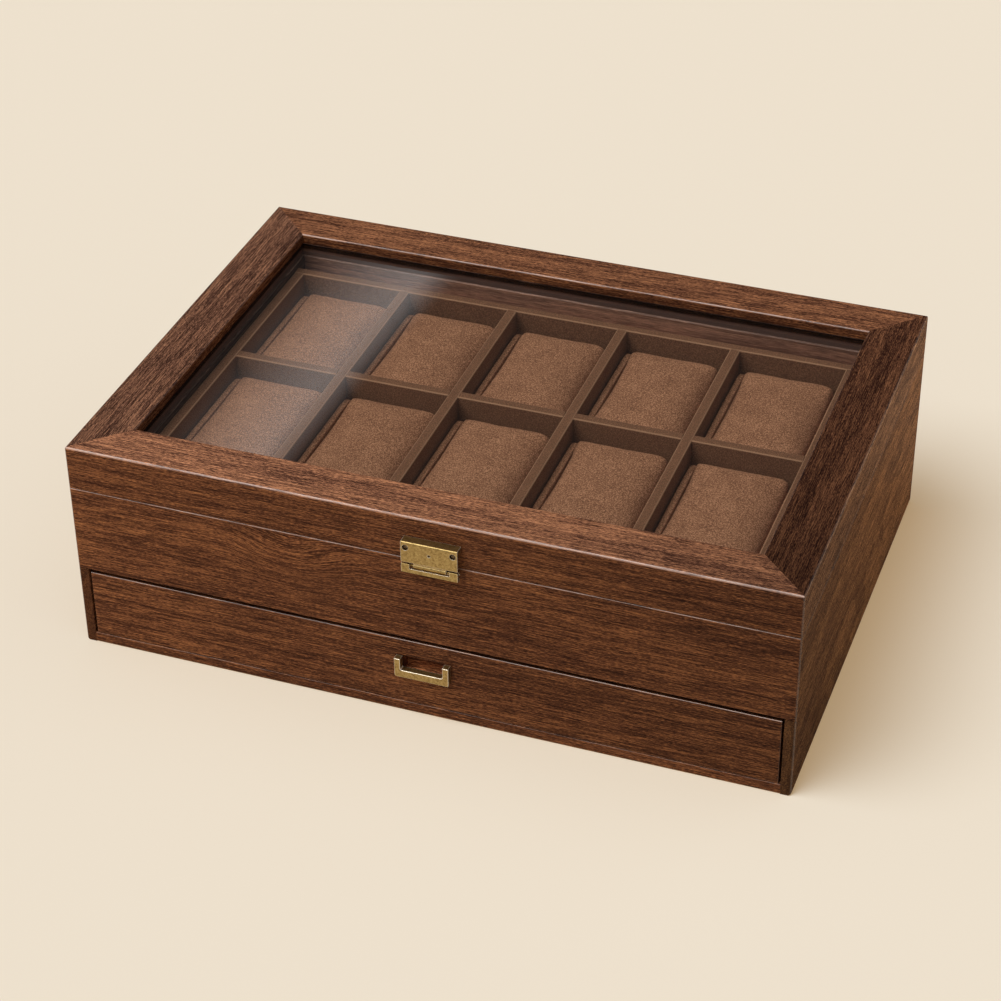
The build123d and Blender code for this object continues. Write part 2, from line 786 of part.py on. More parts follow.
def hinge_leaf(x, rise):
    """One leaf: a plate in the seam, its knuckles, and a wing that stops the lid when open."""
    parity = 0 if rise < 0 else 1
    left = x - hinge_length / 2
    near = body_height + rise * hinge_leaf_sunk
    z = sorted((near, near + rise * hinge_leaf_thick))
    leaf = block((left, left + hinge_length), (half_depth - hinge_leaf_reach, half_depth), z)
    angle = hinge_opening / 2
    wing_frame = Location((0, hinge_y, body_height), (rise * angle, 0, 0))
    inner, outer = sorted((rise * hinge_wing_play, rise * (hinge_wing_play + hinge_wing_thick)))
    clear_of_barrel = hinge_barrel + hinge_standoff
    wing = block((left, left + hinge_length), (clear_of_barrel, hinge_wing_reach), (inner, outer))
    leaf += wing_frame * wing
    for low, high in knuckle_spans(parity):
        span = (left + low, left + high)
        leaf += block(span, (half_depth, hinge_y), z)
        leaf += rod((left + low, hinge_y, body_height), (1, 0, 0), hinge_barrel, high - low)
        leaf += wing_frame * block(span, (hinge_barrel / 2, clear_of_barrel), (inner, outer))
    bore = hinge_pin_radius + pin_play
    leaf -= rod((left, hinge_y, body_height), (1, 0, 0), bore, hinge_length)
    for screw in hinge_screw_list(rise):
        leaf -= screw
    return leaf


def hinge_pin(x):
    """Pin through all knuckles of one hinge."""
    return rod((x - hinge_length / 2, hinge_y, body_height), (1, 0, 0), hinge_pin_radius, hinge_length)


def deck_with_stop_holes():
    """The deck, drilled for the screws of the stops."""
    board = deck_board()
    for screw in stop_screw_list():
        board -= screw
    return board


def all_nodes():
    """Every piece of the box by name, each as a list of solids."""
    nodes = {
        "front_panel": [front_panel()],
        "left_wall": [side_wall("left")],
        "right_wall": [side_wall("right")],
        "back_panel": [back_panel()],
        "bottom_board": [bottom_board()],
        "deck_board": [deck_with_stop_holes()],
        "drawer_stops": drawer_stops(),
        "drawer_stop_screws": stop_screw_list(),
        "surround_long_strips": surround_strips("long"),
        "surround_end_strips": surround_strips("end"),
        "tray_front_wall": [tray_long_wall(-1)],
        "tray_back_wall": [tray_long_wall(1)],
        "tray_left_wall": [tray_end_wall(-1)],
        "tray_right_wall": [tray_end_wall(1)],
        "tray_floor": [tray_floor()],
        "row_divider": [row_divider(y) for y in row_centres()],
        "latch_keeper": [latch_keeper()],
        "keeper_nails": keeper_nail_list(),
        "hinge_case_leaves": [hinge_leaf(x, -1) for x in hinge_places()],
        "hinge_case_screws": hinge_screw_list(-1),
        "hinge_pins": [hinge_pin(x) for x in hinge_places()],
        "glass_pane": [glass_pane()],
        "glass_beads_long": [glass_bead("front"), glass_bead("back")],
        "glass_beads_short": [glass_bead("left"), glass_bead("right")],
        "latch_plate": [latch_plate()],
        "latch_plate_nails": plate_nail_list(),
        "latch_strap": [latch_strap()],
        "latch_rivet": [latch_rivet()],
        "latch_pin": [latch_pin()],
        "hinge_lid_leaves": [hinge_leaf(x, 1) for x in hinge_places()],
        "hinge_lid_screws": hinge_screw_list(1),
        "latch_flap": [latch_flap()],
        "drawer_front": [drawer_front()],
        "drawer_left_side": [drawer_side(-1)],
        "drawer_right_side": [drawer_side(1)],
        "drawer_back": [drawer_back()],
        "drawer_bottom": [drawer_bottom()],
        "drawer_lining": [drawer_lining()],
        "drawer_pull": [drawer_pull()],
        "drawer_pull_screws": pull_screw_list(),
    }
    for side in ("front", "back", "left", "right"):
        nodes[f"lid_{side}_rail"] = [lid_rail(side)]
    for index, x in enumerate(column_centres()):
        nodes[f"column_divider_{index + 1}"] = [column_divider(x)]
    for row in range(rows):
        for column in range(columns):
            nodes[f"pillow_{row * columns + column + 1}"] = pillow(column, row)
    return nodes


for name, solids in all_nodes().items():
    flat = [solid for piece in solids for solid in piece.solids()]
    shape = flat[0] if len(flat) == 1 else Compound(flat)
    export_step(shape, f"parts/{name}.step")
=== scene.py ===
import math
import bpy
import bmesh
import numpy as np
from mathutils import Matrix, Vector


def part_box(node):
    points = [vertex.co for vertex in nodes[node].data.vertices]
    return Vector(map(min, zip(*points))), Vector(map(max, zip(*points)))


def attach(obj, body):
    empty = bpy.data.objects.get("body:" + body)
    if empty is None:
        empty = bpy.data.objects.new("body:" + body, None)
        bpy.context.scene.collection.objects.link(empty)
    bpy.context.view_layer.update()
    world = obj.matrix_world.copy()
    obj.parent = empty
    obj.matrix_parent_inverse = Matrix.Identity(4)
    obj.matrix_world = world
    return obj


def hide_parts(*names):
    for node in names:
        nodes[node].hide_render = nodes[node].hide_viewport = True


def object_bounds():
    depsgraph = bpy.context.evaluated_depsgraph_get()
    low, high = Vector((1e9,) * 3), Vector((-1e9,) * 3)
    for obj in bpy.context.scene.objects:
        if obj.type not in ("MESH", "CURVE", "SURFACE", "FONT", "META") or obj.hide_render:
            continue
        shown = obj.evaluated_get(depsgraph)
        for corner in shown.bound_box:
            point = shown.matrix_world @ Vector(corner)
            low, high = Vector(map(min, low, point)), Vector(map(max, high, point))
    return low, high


# Watch box with a glazed lid and a drawer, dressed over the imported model. Everything is in metres,
# in the frame of the model: X to the right, Y to the back, Z up, origin under the middle of the
# case. Values whose names end in Mm are millimetres, and angles are degrees.
mm = 0.001
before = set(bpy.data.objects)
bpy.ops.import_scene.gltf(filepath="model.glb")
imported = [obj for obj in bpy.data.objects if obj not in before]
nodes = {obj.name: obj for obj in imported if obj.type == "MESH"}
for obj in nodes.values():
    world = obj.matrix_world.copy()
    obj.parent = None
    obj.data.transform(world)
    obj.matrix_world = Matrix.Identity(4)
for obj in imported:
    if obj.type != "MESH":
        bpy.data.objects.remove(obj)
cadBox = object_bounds()
scene = bpy.context.scene
print("frame loaded:", len(nodes), "nodes")

# settings that many nodes share
smooth = {"interpolation_type": "SMOOTHSTEP"}
multiply = {"operation": "MULTIPLY"}
multiplyAdd = {"operation": "MULTIPLY_ADD"}
maximum = {"operation": "MAXIMUM"}
mixColours = {"data_type": "RGBA"}      # takes its factor at 0, the colours at 6 and 7, result at 2


def linearColour(hexCode):
    # sRGB hex to linear red, green, blue and full alpha
    shares = [int(hexCode[i:i + 2], 16) / 255 for i in (1, 3, 5)]
    linear = [s / 12.92 if s <= 0.04045 else ((s + 0.055) / 1.055) ** 2.4 for s in shares]
    return (*linear, 1.0)


def addNode(tree, kind, settings=None, links=None, stops=None):
    # one node: settings by property name, inputs by name or number (a socket is linked, a value is
    # set), and the stops of a colour ramp as (place, hex colour)
    node = tree.nodes.new(kind)
    for name, value in (settings or {}).items():
        setattr(node, name, value)
    for name, value in (links or {}).items():
        if isinstance(value, bpy.types.NodeSocket):
            tree.links.new(value, node.inputs[name])
        else:
            node.inputs[name].default_value = value
    for index, (place, colour) in enumerate(stops or []):
        elements = node.color_ramp.elements
        element = elements[index] if index < 2 else elements.new(place)
        element.position = place
        element.color = linearColour(colour)
    return node


def newMaterial(name):
    # an empty material, ready for addNode
    material = bpy.data.materials.new(name)
    material.use_nodes = True
    material.node_tree.nodes.clear()
    return material, material.node_tree


photoView = {
    "focalPx": 2625.2,          # fitted to the corners of the box
    "imagePx": 1001,
    "sensorMm": 36.0,
    "azimuth": 20.08,
    "elevation": 34.82,
    "roll": -0.59,
    "place": (0.3482, -0.9693, 0.7558),
    "farEnd": 20.0,
}


def makeCamera(view):
    # camera axes from azimuth, elevation and a small roll about the line of sight
    az, el, roll = (math.radians(view[k]) for k in ("azimuth", "elevation", "roll"))
    back = Vector((math.sin(az) * math.cos(el), -math.cos(az) * math.cos(el), math.sin(el)))
    right = Vector((math.cos(az), math.sin(az), 0.0))
    up = back.cross(right)
    rolledRight = right * math.cos(roll) + up * math.sin(roll)
    rolledUp = up * math.cos(roll) - right * math.sin(roll)
    data = bpy.data.cameras.new("photoCamera")
    data.sensor_width = view["sensorMm"]
    data.lens = view["focalPx"] / view["imagePx"] * view["sensorMm"]
    data.clip_end = view["farEnd"]
    camera = bpy.data.objects.new("photoCamera", data)
    turned = Matrix((rolledRight, rolledUp, back)).transposed().to_4x4()
    camera.matrix_world = Matrix.Translation(view["place"]) @ turned
    scene.collection.objects.link(camera)
    scene.camera = camera


makeCamera(photoView)
scene.view_settings.view_transform = "Standard"
print("camera placed")


studio = {
    "paper": "#ede0cc",         # cream backdrop paper
    "shadeColour": "#947340",   # warm light the camera sees added to it, so its shadows stay pale
    "lampPaper": "#c5c9c6",     # what is left for the lamps, so that both give the paper's colour
    "floorHalf": 30.0,
    "skyColour": "#ffffff",
    "horizonLight": 0.17,       # the sky is dimmer low down, as under a wide overhead softbox
    "zenithLight": 0.38,
    "keyStrength": 2.26,        # a soft lamp far off at the front left, high up
    "keyFrom": (-0.354, -0.354, 0.866),
    "keySpread": 42.0,
    "wallLight": 0.035,         # a dark wall behind the box keeps the glass clear of reflections
    "wallSides": [(-75.0, -60.0), (34.0, 12.0)],    # from straight behind, each edge inwards
    "wallEnds": [(8.0, 20.0), (64.0, 46.0)],        # its soft lower and upper edges
    "gapSides": [(-27.8, -23.8), (-23.1, -24.5)],   # a slanting gap, the pale patch in the glass
    "gapLean": 1.12,            # degrees to the left for each degree up
    "gapHeight": 31.9,          # where its sides are given
    "gapLight": 0.8,
}


def makeFloor(look):
    # one plain square, wide enough to fill every view
    half = look["floorHalf"]
    corners = [(-half, -half, 0), (half, -half, 0), (half, half, 0), (-half, half, 0)]
    mesh = bpy.data.meshes.new("floor")
    mesh.from_pydata(corners, [], [(0, 1, 2, 3)])
    floor = bpy.data.objects.new("floor", mesh)
    scene.collection.objects.link(floor)
    material, tree = newMaterial("mattePaper")      # matt backdrop paper, no sheen at all
    paper, seen = [addNode(tree, "ShaderNodeBsdfDiffuse", None, {"Color": linearColour(look[key])})
                   for key in ("paper", "lampPaper")]
    warm = addNode(tree, "ShaderNodeEmission", None, {"Color": linearColour(look["shadeColour"])})
    both = addNode(tree, "ShaderNodeAddShader", None, {0: seen.outputs[0], 1: warm.outputs[0]})
    path = addNode(tree, "ShaderNodeLightPath")
    looked = addNode(tree, "ShaderNodeMath", maximum, {     # by the camera, also through the glass
        0: path.outputs["Is Camera Ray"], 1: path.outputs["Is Transmission Ray"]}).outputs[0]
    mix = addNode(tree, "ShaderNodeMixShader", None, {
        0: looked, 1: paper.outputs[0], 2: both.outputs[0]})
    addNode(tree, "ShaderNodeOutputMaterial", None, {"Surface": mix.outputs[0]})
    mesh.materials.append(material)


def makeWorld(look):
    # light by direction: horizonLight + zenithLight * sin(height), with a dark wall in it that has
    # a lit gap; every edge is a smooth step. The camera sees the paper's colour past the floor.
    world = bpy.data.worlds.new("studioWorld")
    scene.world = world
    world.use_nodes = True
    tree = world.node_tree
    tree.nodes.clear()
    way = addNode(tree, "ShaderNodeTexCoord").outputs["Generated"]
    part = addNode(tree, "ShaderNodeSeparateXYZ", None, {0: way})
    turn = addNode(tree, "ShaderNodeMath", {"operation": "ARCTAN2"}, {
        0: part.outputs["X"], 1: part.outputs["Y"]}).outputs[0]
    height = addNode(tree, "ShaderNodeMath", {"operation": "ARCSINE"}, {
        0: part.outputs["Z"]}).outputs[0]
    slanted = addNode(tree, "ShaderNodeMath", multiplyAdd, {
        0: height, 1: look["gapLean"], 2: turn}).outputs[0]
    shift = look["gapLean"] * look["gapHeight"]
    wallEdges = [(turn, pair) for pair in look["wallSides"]]
    wallEdges += [(height, pair) for pair in look["wallEnds"]]
    gapEdges = [(slanted, (start + shift, end + shift)) for start, end in look["gapSides"]]
    shapes = []
    for edges in (wallEdges, gapEdges):
        shape = 1.0
        for value, (start, end) in edges:
            step = addNode(tree, "ShaderNodeMapRange", smooth, {
                "Value": value, "From Min": math.radians(start),
                "From Max": math.radians(end)}).outputs[0]
            shape = addNode(tree, "ShaderNodeMath", multiply, {0: shape, 1: step}).outputs[0]
        shapes.append(shape)
    wall, gap = shapes
    up = addNode(tree, "ShaderNodeMath", maximum, {0: part.outputs["Z"], 1: 0.0}).outputs[0]
    light = addNode(tree, "ShaderNodeMath", multiplyAdd, {
        0: up, 1: look["zenithLight"], 2: look["horizonLight"]}).outputs[0]
    inWall = addNode(tree, "ShaderNodeMix", None, {
        0: gap, 2: look["wallLight"], 3: look["gapLight"]}).outputs[0]
    level = addNode(tree, "ShaderNodeMix", None, {0: wall, 2: light, 3: inWall}).outputs[0]
    sky = addNode(tree, "ShaderNodeBackground", None, {
        "Color": linearColour(look["skyColour"]), "Strength": level})
    behind = addNode(tree, "ShaderNodeBackground", None, {
        "Color": linearColour(look["paper"]), "Strength": 1.0})
    path = addNode(tree, "ShaderNodeLightPath")
    mix = addNode(tree, "ShaderNodeMixShader", None, {
        0: path.outputs["Is Camera Ray"], 1: sky.outputs[0], 2: behind.outputs[0]})
    addNode(tree, "ShaderNodeOutputWorld", None, {"Surface": mix.outputs[0]})


def makeLamp(look):
    data = bpy.data.lights.new("keyLamp", "SUN")
    data.energy = look["keyStrength"]
    data.angle = math.radians(look["keySpread"])
    lamp = bpy.data.objects.new("keyLamp", data)
    lamp.matrix_world = Vector(look["keyFrom"]).to_track_quat("Z", "Y").to_matrix().to_4x4()
    scene.collection.objects.link(lamp)


makeWorld(studio)
makeFloor(studio)
makeLamp(studio)
print("studio ready")


walnut = {                      # open-pored hardwood, stained red-brown, rubbed with satin lacquer
    "poreColour": "#1d0e09",
    "tones": [(0.02, "#341c13"), (0.38, "#573422"), (0.62, "#7b4c32"), (0.95, "#ab6f44")],
    "toneShift": -2.54,
    "layers": [                 # noise along and across the grain in mm, detail, share of the tone
        (130.0, 10.0, 2.0, 0.5),
        (32.0, 1.3, 3.0, 0.55),
        (19.0, 0.34, 2.0, 1.3),
        (8.0, 0.19, 2.0, 1.7),
        (2.0, 0.2, 1.0, 1.8)],
    "topContrast": 1.4,         # the streaks stand out more on faces that look up, a painted glint,
    "evenTone": 0.45,           # lighter and darker than this tone
    "ringMm": 3.4,
    "ringShare": 0.14,
    "poreMm": (10.0, 0.26),     # along and across the grain
    "poreFrom": (0.56, 0.66),   # noise where a pore begins and where it is deepest
    "pores": 0.7,
    "endShade": 0.6,            # end grain takes more stain
    "edgeHighlightColour": "#dab49f",    # lacquer thin on the arrises that are handled, with a painted highlight
    "arrisFrom": (0.95, 0.84),  # largest part of the normal beside a flat face and on the arris
    "wearAndHighlightFrom": (0.38, 0.58),   # noise where the arris mark and its painted highlight are least and most
    "leastWearAndHighlight": 0.05,
    "wearAndHighlight": 0.42,
    "coat": 0.07,               # thin lacquer on the faces, built up on the arrises
    "edgeCoat": 0.75,
    "roughness": 0.42,
    "roughSpread": 0.2,
    "streakRelief": 0.35,       # height of the streaks beside the depth of a pore
    "reliefMm": 0.08,
    "roundMm": 0.3,
}
littleWearAndHighlight = dict(walnut, wearAndHighlight=0.2, edgeCoat=0.3)       # the board under the drawer, less of the arris mark and painted highlight
faceFrom = {                    # part of the normal where a face begins to look some way and does
    "top": (0.5, 0.9),
    "below": (-0.5, -0.9),
    "end": (0.6, 0.9),
    # arrises that look up and to the front, towards the key lamp, get the painted highlight
    "highlightUp": (0.15, 0.55),
    "highlightFront": (-0.1, -0.5),
}

plainCut = {                    # how a board was sawn from the trunk and stained, and the light and shade painted on it
    "grain": "X",               # axis the grain runs along
    "start": (0, 0, 0),         # moves the pattern, in mm
    "heart": (0.0, 30.0),       # the trunk's middle, in mm across and above the board
    "lean": (1.2, 2.0),         # and its tilt to the board
    "shade": (1.0, 1.0),        # lightness at the left or front end and at the other: the board's tone and painted light
    "topShade": 1.0,            # and how much lighter it is on faces that look up, painted light and shade
    "topFrom": None,            # and lie above this height in mm
    "belowShade": 1.0,          # the same painted shade on faces that look down
    "inner": None,              # painted light in a recess: y in mm where it begins and is full, and how much lighter
    "grey": (1.0, 1.0),         # strength of the colour on upright and on level faces, greyer as a painted sheen
    "hue": (0.5, 0.5),          # and its hue, over 0.5 yellower
    "eye": None,                # the grain bends here: x, z, reach along and across, push, in mm
    "wearAndHighlightBelow": False,         # a front whose lower arrises get the mark and painted highlight too
}


def boardPlace(tree, place, cut):
    # millimetres along the grain and across it, pushed aside round an eye
    turn = -math.pi / 2 if cut["grain"] == "Y" else 0
    board = addNode(tree, "ShaderNodeMapping", None, {
        "Vector": place, "Rotation": (0, 0, turn), "Scale": (1 / mm,) * 3,
        "Location": cut["start"]}).outputs[0]
    if not cut["eye"]:
        return board
    x, z, long, high, push = cut["eye"]
    away = board
    for operation, vector in (("SUBTRACT", (x + cut["start"][0], 0, z + cut["start"][2])),
                              ("MULTIPLY", (1 / long, 0, 1 / high))):
        away = addNode(tree, "ShaderNodeVectorMath", {"operation": operation}, {
            0: away, 1: vector}).outputs[0]
    away = addNode(tree, "ShaderNodeVectorMath", {"operation": "LENGTH"}, {0: away})
    pushed = addNode(tree, "ShaderNodeMapRange", {"interpolation_type": "SMOOTHERSTEP"}, {
        "Value": away.outputs["Value"], "From Min": 1.0, "From Max": 0.0, "To Max": push})
    pushed = addNode(tree, "ShaderNodeCombineXYZ", None, {"Z": pushed.outputs[0]})
    return addNode(tree, "ShaderNodeVectorMath", {"operation": "ADD"}, {
        0: board, 1: pushed.outputs[0]}).outputs[0]


def grainTone(tree, board, look, cut):
    # the rings of a tilted trunk and stretched noises, added up by their shares to the tone. Also
    # gives the noises themselves, with the one for the pores at the end.
    noises = []
    for along, across, detail, *_ in look["layers"] + [(*look["poreMm"], 1.0)]:
        scaled = addNode(tree, "ShaderNodeVectorMath", multiply, {
            0: board, 1: (1 / along, 1 / across, 1 / across)}).outputs[0]
        noises.append(addNode(tree, "ShaderNodeTexNoise", None, {
            "Vector": scaled, "Scale": 1.0, "Detail": detail, "Roughness": 0.6}).outputs[0])
    aside, above = cut["heart"]
    tilt, turn = (math.radians(angle) for angle in cut["lean"])
    trunk = addNode(tree, "ShaderNodeMapping", None, {
        "Vector": board, "Location": (0, aside, above), "Rotation": (0, tilt, turn)}).outputs[0]
    rings = addNode(tree, "ShaderNodeTexWave", {
        "wave_type": "RINGS", "rings_direction": "X", "wave_profile": "SAW"}, {
        "Vector": trunk, "Scale": 1 / (look["ringMm"] * math.pi * 2), "Distortion": 3.5,
        "Detail": 2.0, "Detail Scale": 0.6}).outputs["Fac"]
    tone = look["toneShift"]
    shares = [look["ringShare"]] + [layer[3] for layer in look["layers"]]
    for value, share in zip([rings] + noises, shares):
        tone = addNode(tree, "ShaderNodeMath", multiplyAdd, {
            0: value, 1: share, 2: tone}).outputs[0]
    return tone, noises


def arrisWearAndHighlight(tree, normal, sizes, noise, look, cut):
    # how far a place is on a rounded arris, and how far the lacquer is thinned there with a painted
    # highlight: unevenly, where it looks up and to the front, towards the key lamp
    most = sizes[0]
    for size in sizes[1:]:
        most = addNode(tree, "ShaderNodeMath", maximum, {0: most, 1: size}).outputs[0]
    upward = sizes[2] if cut["wearAndHighlightBelow"] else normal.outputs["Z"]
    arris, facingUp, facingFront = [
        addNode(tree, "ShaderNodeMapRange", smooth, {
            "Value": value, "From Min": start, "From Max": full}).outputs[0]
        for value, (start, full) in ((most, look["arrisFrom"]), (upward, faceFrom["highlightUp"]),
                                     (normal.outputs["Y"], faceFrom["highlightFront"]))]
    uneven = addNode(tree, "ShaderNodeMapRange", None, {
        "Value": noise, "From Min": look["wearAndHighlightFrom"][0], "From Max": look["wearAndHighlightFrom"][1],
        "To Min": look["leastWearAndHighlight"], "To Max": look["wearAndHighlight"]}).outputs[0]
    wearAndHighlight = arris
    for share in (facingUp, facingFront, uneven):
        wearAndHighlight = addNode(tree, "ShaderNodeMath", multiply, {0: wearAndHighlight, 1: share}).outputs[0]
    return arris, wearAndHighlight


def woodMaterial(name, look, cut):
    # solid wood: grain tone, short dark pores, stain with painted light and shade, uneven by place
    # and by the way a face looks, arrises with a painted highlight, lacquer along the grain
    cut = dict(plainCut, **cut)
    material, tree = newMaterial(name)
    place = addNode(tree, "ShaderNodeTexCoord")
    spot = addNode(tree, "ShaderNodeSeparateXYZ", None, {0: place.outputs["Object"]})
    # |normal| is one along an axis on every flat face and less on a rounded arris
    normal = addNode(tree, "ShaderNodeSeparateXYZ", None, {0: place.outputs["Normal"]})
    sizes = [addNode(tree, "ShaderNodeMath", {"operation": "ABSOLUTE"}, {
        0: normal.outputs[axis]}).outputs[0] for axis in "XYZ"]
    up, endwise, level = normal.outputs["Z"], sizes["XYZ".index(cut["grain"])], sizes[2]
    # painted glint, light, shade and sheen by the way a face looks; end grain takes more stain
    contrast, onTop, onBelow, onEnd, strength, tint = [
        addNode(tree, "ShaderNodeMapRange", None, {
            "Value": value, "From Min": start, "From Max": full,
            "To Min": elsewhere, "To Max": there}).outputs[0]
        for value, (start, full), (elsewhere, there) in (
            (up, faceFrom["top"], (1.0, look["topContrast"])),
            (up, faceFrom["top"], (1.0, cut["topShade"])),
            (up, faceFrom["below"], (1.0, cut["belowShade"])),
            (endwise, faceFrom["end"], (1.0, look["endShade"])),
            (level, faceFrom["top"], cut["grey"]),
            (level, faceFrom["top"], cut["hue"]))]

    board = boardPlace(tree, place.outputs["Object"], cut)
    tone, noises = grainTone(tree, board, look, cut)
    tone = addNode(tree, "ShaderNodeMix", {"clamp_factor": False}, {
        0: contrast, 2: look["evenTone"], 3: tone}).outputs[0]
    colour = addNode(tree, "ShaderNodeValToRGB", None, {"Fac": tone}, look["tones"]).outputs[0]
    pore = addNode(tree, "ShaderNodeMapRange", smooth, {
        "Value": noises[-1], "From Min": look["poreFrom"][0], "From Max": look["poreFrom"][1],
        "To Max": look["pores"]}).outputs[0]
    colour = addNode(tree, "ShaderNodeMix", mixColours, {
        0: pore, 6: colour, 7: linearColour(look["poreColour"])}).outputs[2]

    # painted light and shade along the board, on up and down faces and in a recess, with the stain
    end = cadBox[1]["XY".index(cut["grain"])]
    stainAndShade = addNode(tree, "ShaderNodeMapRange", None, {
        "Value": spot.outputs[cut["grain"]], "From Min": -end, "From Max": end,
        "To Min": cut["shade"][0], "To Max": cut["shade"][1]}).outputs[0]
    if cut["topFrom"]:
        above = addNode(tree, "ShaderNodeMath", {"operation": "GREATER_THAN"}, {
            0: spot.outputs["Z"], 1: cut["topFrom"] * mm}).outputs[0]
        onTop = addNode(tree, "ShaderNodeMix", None, {0: above, 2: 1.0, 3: onTop}).outputs[0]
    shares = [onEnd, onTop, onBelow]
    if cut["inner"]:
        start, full, lighter = cut["inner"]
        shares.append(addNode(tree, "ShaderNodeMapRange", None, {
            "Value": spot.outputs["Y"], "From Min": start * mm, "From Max": full * mm,
            "To Min": 1.0, "To Max": lighter}).outputs[0])
    for share in shares:
        stainAndShade = addNode(tree, "ShaderNodeMath", multiply, {0: stainAndShade, 1: share}).outputs[0]
    arris, wearAndHighlight = arrisWearAndHighlight(tree, normal, sizes, noises[1], look, cut)
    colour = addNode(tree, "ShaderNodeHueSaturation", None, {
        "Hue": tint, "Value": stainAndShade, "Saturation": strength, "Color": colour}).outputs[0]
    colour = addNode(tree, "ShaderNodeMix", mixColours, {
        0: wearAndHighlight, 6: colour, 7: linearColour(look["edgeHighlightColour"])}).outputs[2]

    relief = addNode(tree, "ShaderNodeMath", multiply, {
        0: noises[2], 1: look["streakRelief"]}).outputs[0]
    relief = addNode(tree, "ShaderNodeMath", {"operation": "SUBTRACT"}, {
        0: relief, 1: pore}).outputs[0]
    rounded = addNode(tree, "ShaderNodeBevel", {"samples": 4}, {"Radius": look["roundMm"] * mm})
    bump = addNode(tree, "ShaderNodeBump", None, {
        "Strength": 0.5, "Distance": look["reliefMm"] * mm, "Height": relief,
        "Normal": rounded.outputs[0]}).outputs[0]
    gloss = addNode(tree, "ShaderNodeMath", multiplyAdd, {
        0: noises[2], 1: look["roughSpread"],
        2: look["roughness"] - look["roughSpread"] / 2}).outputs[0]
    coat = addNode(tree, "ShaderNodeMath", multiplyAdd, {
        0: arris, 1: look["edgeCoat"], 2: look["coat"]}).outputs[0]
    lacquered = addNode(tree, "ShaderNodeBsdfPrincipled", None, {
        "Base Color": colour, "Roughness": gloss, "Normal": bump,
        "Specular IOR Level": 0.0, "Coat Weight": coat, "Coat Roughness": 0.2})
    addNode(tree, "ShaderNodeOutputMaterial", None, {"Surface": lacquered.outputs[0]})
    return material


def dress(names, material):
    # gives every slot of these nodes the material
    for name in names:
        for slot in nodes[name].material_slots:
            slot.material = material


# shade, topShade, belowShade, inner and grey paint light and shade on each board
boards = {
    "lid_front_rail": dict(start=(13, 5, 40), heart=(20, 45), lean=(0.6, 0.8),
                           shade=(1.08, 0.64), topShade=1.65, grey=(1.0, 0.92)),
    "lid_back_rail": dict(start=(430, 47, 11), heart=(-30, 40), lean=(0.8, 0.5),
                          topShade=1.15, grey=(1.0, 0.95)),
    "lid_left_rail": dict(grain="Y", start=(90, 260, 5), heart=(25, 50), lean=(0.7, 0.9),
                          topShade=0.92, grey=(1.0, 0.87)),
    "lid_right_rail": dict(grain="Y", start=(770, 31, 60), heart=(-20, 45), lean=(0.6, 1.1),
                           shade=(1.0, 1.95), topShade=0.285, belowShade=0.62,
                           grey=(0.92, 0.94), hue=(0.51, 0.498)),
    "front_panel": dict(start=(35, 140, -64), heart=(0, 8), lean=(2.2, 1.2),
                        shade=(1.12, 0.68), eye=(-62, 72, 40, 24, 7)),
    "left_wall": dict(grain="Y", start=(500, 66, 33), heart=(10, 40), lean=(1.0, 0.7)),
    "right_wall": dict(grain="Y", start=(210, -90, -45), heart=(15, 35), lean=(1.4, 1.1),
                       shade=(0.76, 1.95), topShade=0.62, grey=(0.97, 1.0), hue=(0.51, 0.5)),
    "back_panel": dict(start=(650, 20, -30), heart=(12, 28), lean=(1.6, 1.0)),
    "bottom_board": dict(start=(160, 410, 5), heart=(30, 70), lean=(0.5, 0.5)),
    # the drawer's top in the gap is painted in shade, its pull recess painted lighter
    "drawer_front": dict(start=(-240, 30, 14), heart=(18, 30), lean=(1.2, 0.8),
                         shade=(1.08, 0.62), topShade=0.4, topFrom=38,
                         inner=(-118, -115, 2.8), wearAndHighlightBelow=True),
    "surround_long_strips": dict(start=(260, 75, 18), heart=(10, 60), lean=(0.5, 0.5)),
    "surround_end_strips": dict(grain="Y", start=(640, -35, 9), heart=(10, 60), lean=(0.5, 0.5)),
}
for name, cut in boards.items():
    look = littleWearAndHighlight if name == "bottom_board" else walnut
    dress([name], woodMaterial("satinWalnut_" + name, look, cut))
print("wood done")


traySuedeLook = {
    "colour": "#6f4b36",
    "dark": "#553826",
    "light": "#8f654b",
    "napMm": 0.6,               # drawn coarser than real nap, so that it shows
    "evenNap": 0.56,            # noise that gives the middle colour
    "spread": 0.24,             # and from there to the dark and the light one
    "patchMm": 9.0,             # where a hand has stroked it one way
    "patchShare": 0.12,
    "sheen": 0.15,
    "rubbedHighlight": 0.5,              # the nap is rubbed light, a painted highlight, where the covering turns over an edge,
    "rubbedHighlightColour": "#b98c6c",
    "rubbedHighlightFrom": [(0.1, 0.5), (0.995, 0.9)],       # so neither upright nor quite level
    "reliefMm": 0.15,
}
pillowSuedeLook = dict(traySuedeLook, colour="#8d6045", dark="#6b4430", light="#b88464",
                       spread=0.13, sheen=0.2, rubbedHighlight=0.0)


